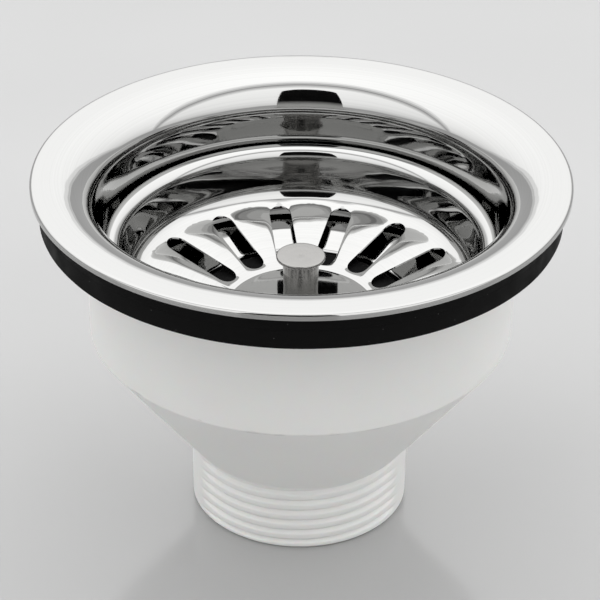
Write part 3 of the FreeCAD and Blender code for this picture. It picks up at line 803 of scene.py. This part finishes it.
tree.links.new(gloss.outputs["Result"], shader.inputs["Roughness"])
tree.links.new(skin.outputs["Normal"], shader.inputs["Normal"])
dress(rubber_mat, upper_seal, lower_seal, plug_seal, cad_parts["stem_ring"])

# %% [markdown]
# ## Brass and fibre
#
# The nut in the hub is turned from hexagon brass bar, so its flats keep the drawn bar's fine lengthwise
# lines, here coarser than real, 0.4 mm wide, so that they show. The washer under the bolt's head is punched
# from red vulcanised fibre, which is matt and a little cloudy.

# %% Brass material
brass_mat, tree, shader = start_material("brass_hexagon_bar", Metallic=1.0)
place = add(tree, "ShaderNodeTexCoord").outputs["Object"]
drawn_place = add(tree, "ShaderNodeVectorMath", {0: place, 1: (1, 1, 0.05)}, operation="MULTIPLY")
drawn = add(tree, "ShaderNodeTexNoise", {"Vector": drawn_place.outputs[0], "Scale": per_mm(0.4), "Detail": 3.0})
tint = add(tree, "ShaderNodeMix", {"Factor": drawn.outputs["Fac"], "A": colour("#B08D4F"),
                                   "B": colour("#D2B06C")}, data_type="RGBA")
gloss = add(tree, "ShaderNodeMapRange", {"Value": drawn.outputs["Fac"], "To Min": 0.22, "To Max": 0.42})
skin = add(tree, "ShaderNodeBump", {"Height": drawn.outputs["Fac"], "Strength": 0.15, "Distance": 0.03 * MM})
tree.links.new(tint.outputs["Result"], shader.inputs["Base Color"])
tree.links.new(gloss.outputs["Result"], shader.inputs["Roughness"])
tree.links.new(skin.outputs["Normal"], shader.inputs["Normal"])
dress(brass_mat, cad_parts["clamp_nut"])

# %% Fibre material
fibre_mat, tree, shader = start_material("vulcanised_fibre_punched", IOR=1.5)
place = add(tree, "ShaderNodeTexCoord").outputs["Object"]
cloud = add(tree, "ShaderNodeTexNoise", {"Vector": place, "Scale": per_mm(1.2), "Detail": 5.0})
tint = add(tree, "ShaderNodeMix", {"Factor": cloud.outputs["Fac"], "A": colour("#7A2A20"),
                                   "B": colour("#9C4536")}, data_type="RGBA")
gloss = add(tree, "ShaderNodeMapRange", {"Value": cloud.outputs["Fac"], "To Min": 0.55, "To Max": 0.8})
tree.links.new(tint.outputs["Result"], shader.inputs["Base Color"])
tree.links.new(gloss.outputs["Result"], shader.inputs["Roughness"])
dress(fibre_mat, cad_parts["bolt_washer"])

# %% [markdown]
# ## Studio
#
# Polished steel looks like what stands round it, so the studio is part of the look. The waste stands on a
# pale board. A black flag stands behind the camera and gives the small dark shape at the back of the rim's
# bend, where the steel looks straight out at the room. Its cloth fades to grey towards the foot, so that the
# flat rim, which mirrors the foot when it is seen from low behind, still looks like steel. The weave is drawn
# coarser than real, 2 mm wide, because only its reflection is ever seen.

# %% Floor
def stage_plane(name, corners, material):
    data = bpy.data.meshes.new(name)
    data.from_pydata([Vector(c) * MM for c in corners], [], [list(range(len(corners)))])
    plane = bpy.data.objects.new(name, data)
    bpy.context.scene.collection.objects.link(plane)
    plane.data.materials.append(material)
    print(name, "in", material.name)


floor_mat, tree, shader = start_material("painted_board", IOR=1.45)
place = add(tree, "ShaderNodeTexCoord").outputs["Object"]
cloud = add(tree, "ShaderNodeTexNoise", {"Vector": place, "Scale": per_mm(120), "Detail": 2.0})
tint = add(tree, "ShaderNodeMix", {"Factor": cloud.outputs["Fac"], "A": colour("#ACACAC"),
                                   "B": colour("#B6B6B6")}, data_type="RGBA")
gloss = add(tree, "ShaderNodeMapRange", {"Value": cloud.outputs["Fac"], "To Min": 0.09, "To Max": 0.14})
tree.links.new(tint.outputs["Result"], shader.inputs["Base Color"])
tree.links.new(gloss.outputs["Result"], shader.inputs["Roughness"])
FLOOR_HALF = 3000
stage_plane("floor", [(-FLOOR_HALF, -FLOOR_HALF, 0), (FLOOR_HALF, -FLOOR_HALF, 0),
                      (FLOOR_HALF, FLOOR_HALF, 0), (-FLOOR_HALF, FLOOR_HALF, 0)], floor_mat)

# %% Flag
FLAG_X, FLAG_Y, FLAG_HALF, FLAG_TOP, FLAG_CORNER = -60, -700, 238, 1180, 200
FLAG_FOOT = 1
GREY_BELOW, BLACK_ABOVE = 230, 390
flag_mat, tree, shader = start_material("black_cloth", Roughness=0.9, Specular_IOR_Level=0.1)
place = add(tree, "ShaderNodeTexCoord").outputs["Object"]
weave = add(tree, "ShaderNodeTexNoise", {"Vector": place, "Scale": per_mm(2), "Detail": 2.0})
black = add(tree, "ShaderNodeMix", {"Factor": weave.outputs["Fac"], "A": colour("#050505"),
                                    "B": colour("#0B0B0B")}, data_type="RGBA")
split = add(tree, "ShaderNodeSeparateXYZ", {"Vector": place})
fade = add(tree, "ShaderNodeMapRange", {"Value": split.outputs["Z"], "From Min": GREY_BELOW * MM,
                                        "From Max": BLACK_ABOVE * MM})
tint = add(tree, "ShaderNodeMix", {"Factor": fade.outputs["Result"], "A": colour("#D8D8D6"),
                                   "B": black.outputs["Result"]}, data_type="RGBA")
tree.links.new(tint.outputs["Result"], shader.inputs["Base Color"])
flag_edge = rounded([(FLAG_HALF, FLAG_FOOT), (FLAG_HALF, FLAG_TOP, FLAG_CORNER),
                     (-FLAG_HALF, FLAG_TOP, FLAG_CORNER), (-FLAG_HALF, FLAG_FOOT)])
stage_plane("flag", [(FLAG_X + x, FLAG_Y, z) for x, z in flag_edge], flag_mat)

# %% [markdown]
# ## Light
#
# Two wide soft boxes hang flat overhead. The gap between them shows as a grey line round the rim's bend. Each
# box is a few lamps that end one after the other, so that the line is soft, as a box's cloth makes it. The
# lamps hang a little apart, because a mirrored ray meets only one of several lamps in one plane. The pale
# surround lights softly and shows at full strength only to the camera and in reflections.

# %% Lamps
CEILING = 1300
BOX_HALF = 7000
SPREAD = math.radians(166)


def soft_box(name, first_y, last_y, height, radiance):
    """A flat soft box from one Y to another at a height, in mm. It dims to the side, as a grid makes it."""
    width, depth = 2 * BOX_HALF * MM, (last_y - first_y) * MM
    lamp = bpy.data.objects.new(name, bpy.data.lights.new(name, "AREA"))
    bpy.context.scene.collection.objects.link(lamp)
    lamp.data.shape = "RECTANGLE"
    lamp.data.size, lamp.data.size_y = width, depth
    lamp.data.energy = radiance * math.pi * width * depth
    lamp.data.spread = SPREAD
    lamp.location = Vector((0, (first_y + last_y) / 2, height)) * MM
    print(f"{name}: {width:.1f} by {depth:.1f} m, {lamp.data.energy:.1f} W")


BACK_NEAR, BACK_FAR, BACK_RADIANCE = -350, 2700, 1.38
FRONT_NEAR, FRONT_FAR, FRONT_RADIANCE = -430, -6000, 1.2
LAYERS, NEAR_STEP, FAR_STEP, LAYER_STEP = 3, 100, 500, 10
for k in range(LAYERS):
    height = CEILING + LAYER_STEP * k
    soft_box(f"back_box_{k}", BACK_NEAR + NEAR_STEP * k, BACK_FAR + FAR_STEP * k, height,
             BACK_RADIANCE / LAYERS)
    soft_box(f"front_box_{k}", FRONT_FAR, FRONT_NEAR - NEAR_STEP * k, height, FRONT_RADIANCE / LAYERS)

# %% World
LIGHTING, SHOWING = 0.34, 0.7
world = bpy.data.worlds.new("white_studio")
bpy.context.scene.world = world
world.use_nodes = True
tree = world.node_tree
seen = add(tree, "ShaderNodeLightPath")
either = add(tree, "ShaderNodeMath", {0: seen.outputs["Is Camera Ray"], 1: seen.outputs["Is Glossy Ray"]},
             operation="MAXIMUM")
shown = add(tree, "ShaderNodeMath", {0: either.outputs[0], 1: seen.outputs["Is Transmission Ray"]},
            operation="MAXIMUM")
level = add(tree, "ShaderNodeMapRange", {"Value": shown.outputs[0], "To Min": LIGHTING, "To Max": SHOWING})
tree.links.new(level.outputs["Result"], tree.nodes["Background"].inputs["Strength"])
tree.nodes["Background"].inputs["Color"].default_value = colour("#FFFFFF")
bpy.context.scene.view_settings.view_transform = "Standard"
print("surround:", SHOWING, "where it shows,", LIGHTING, "as light")
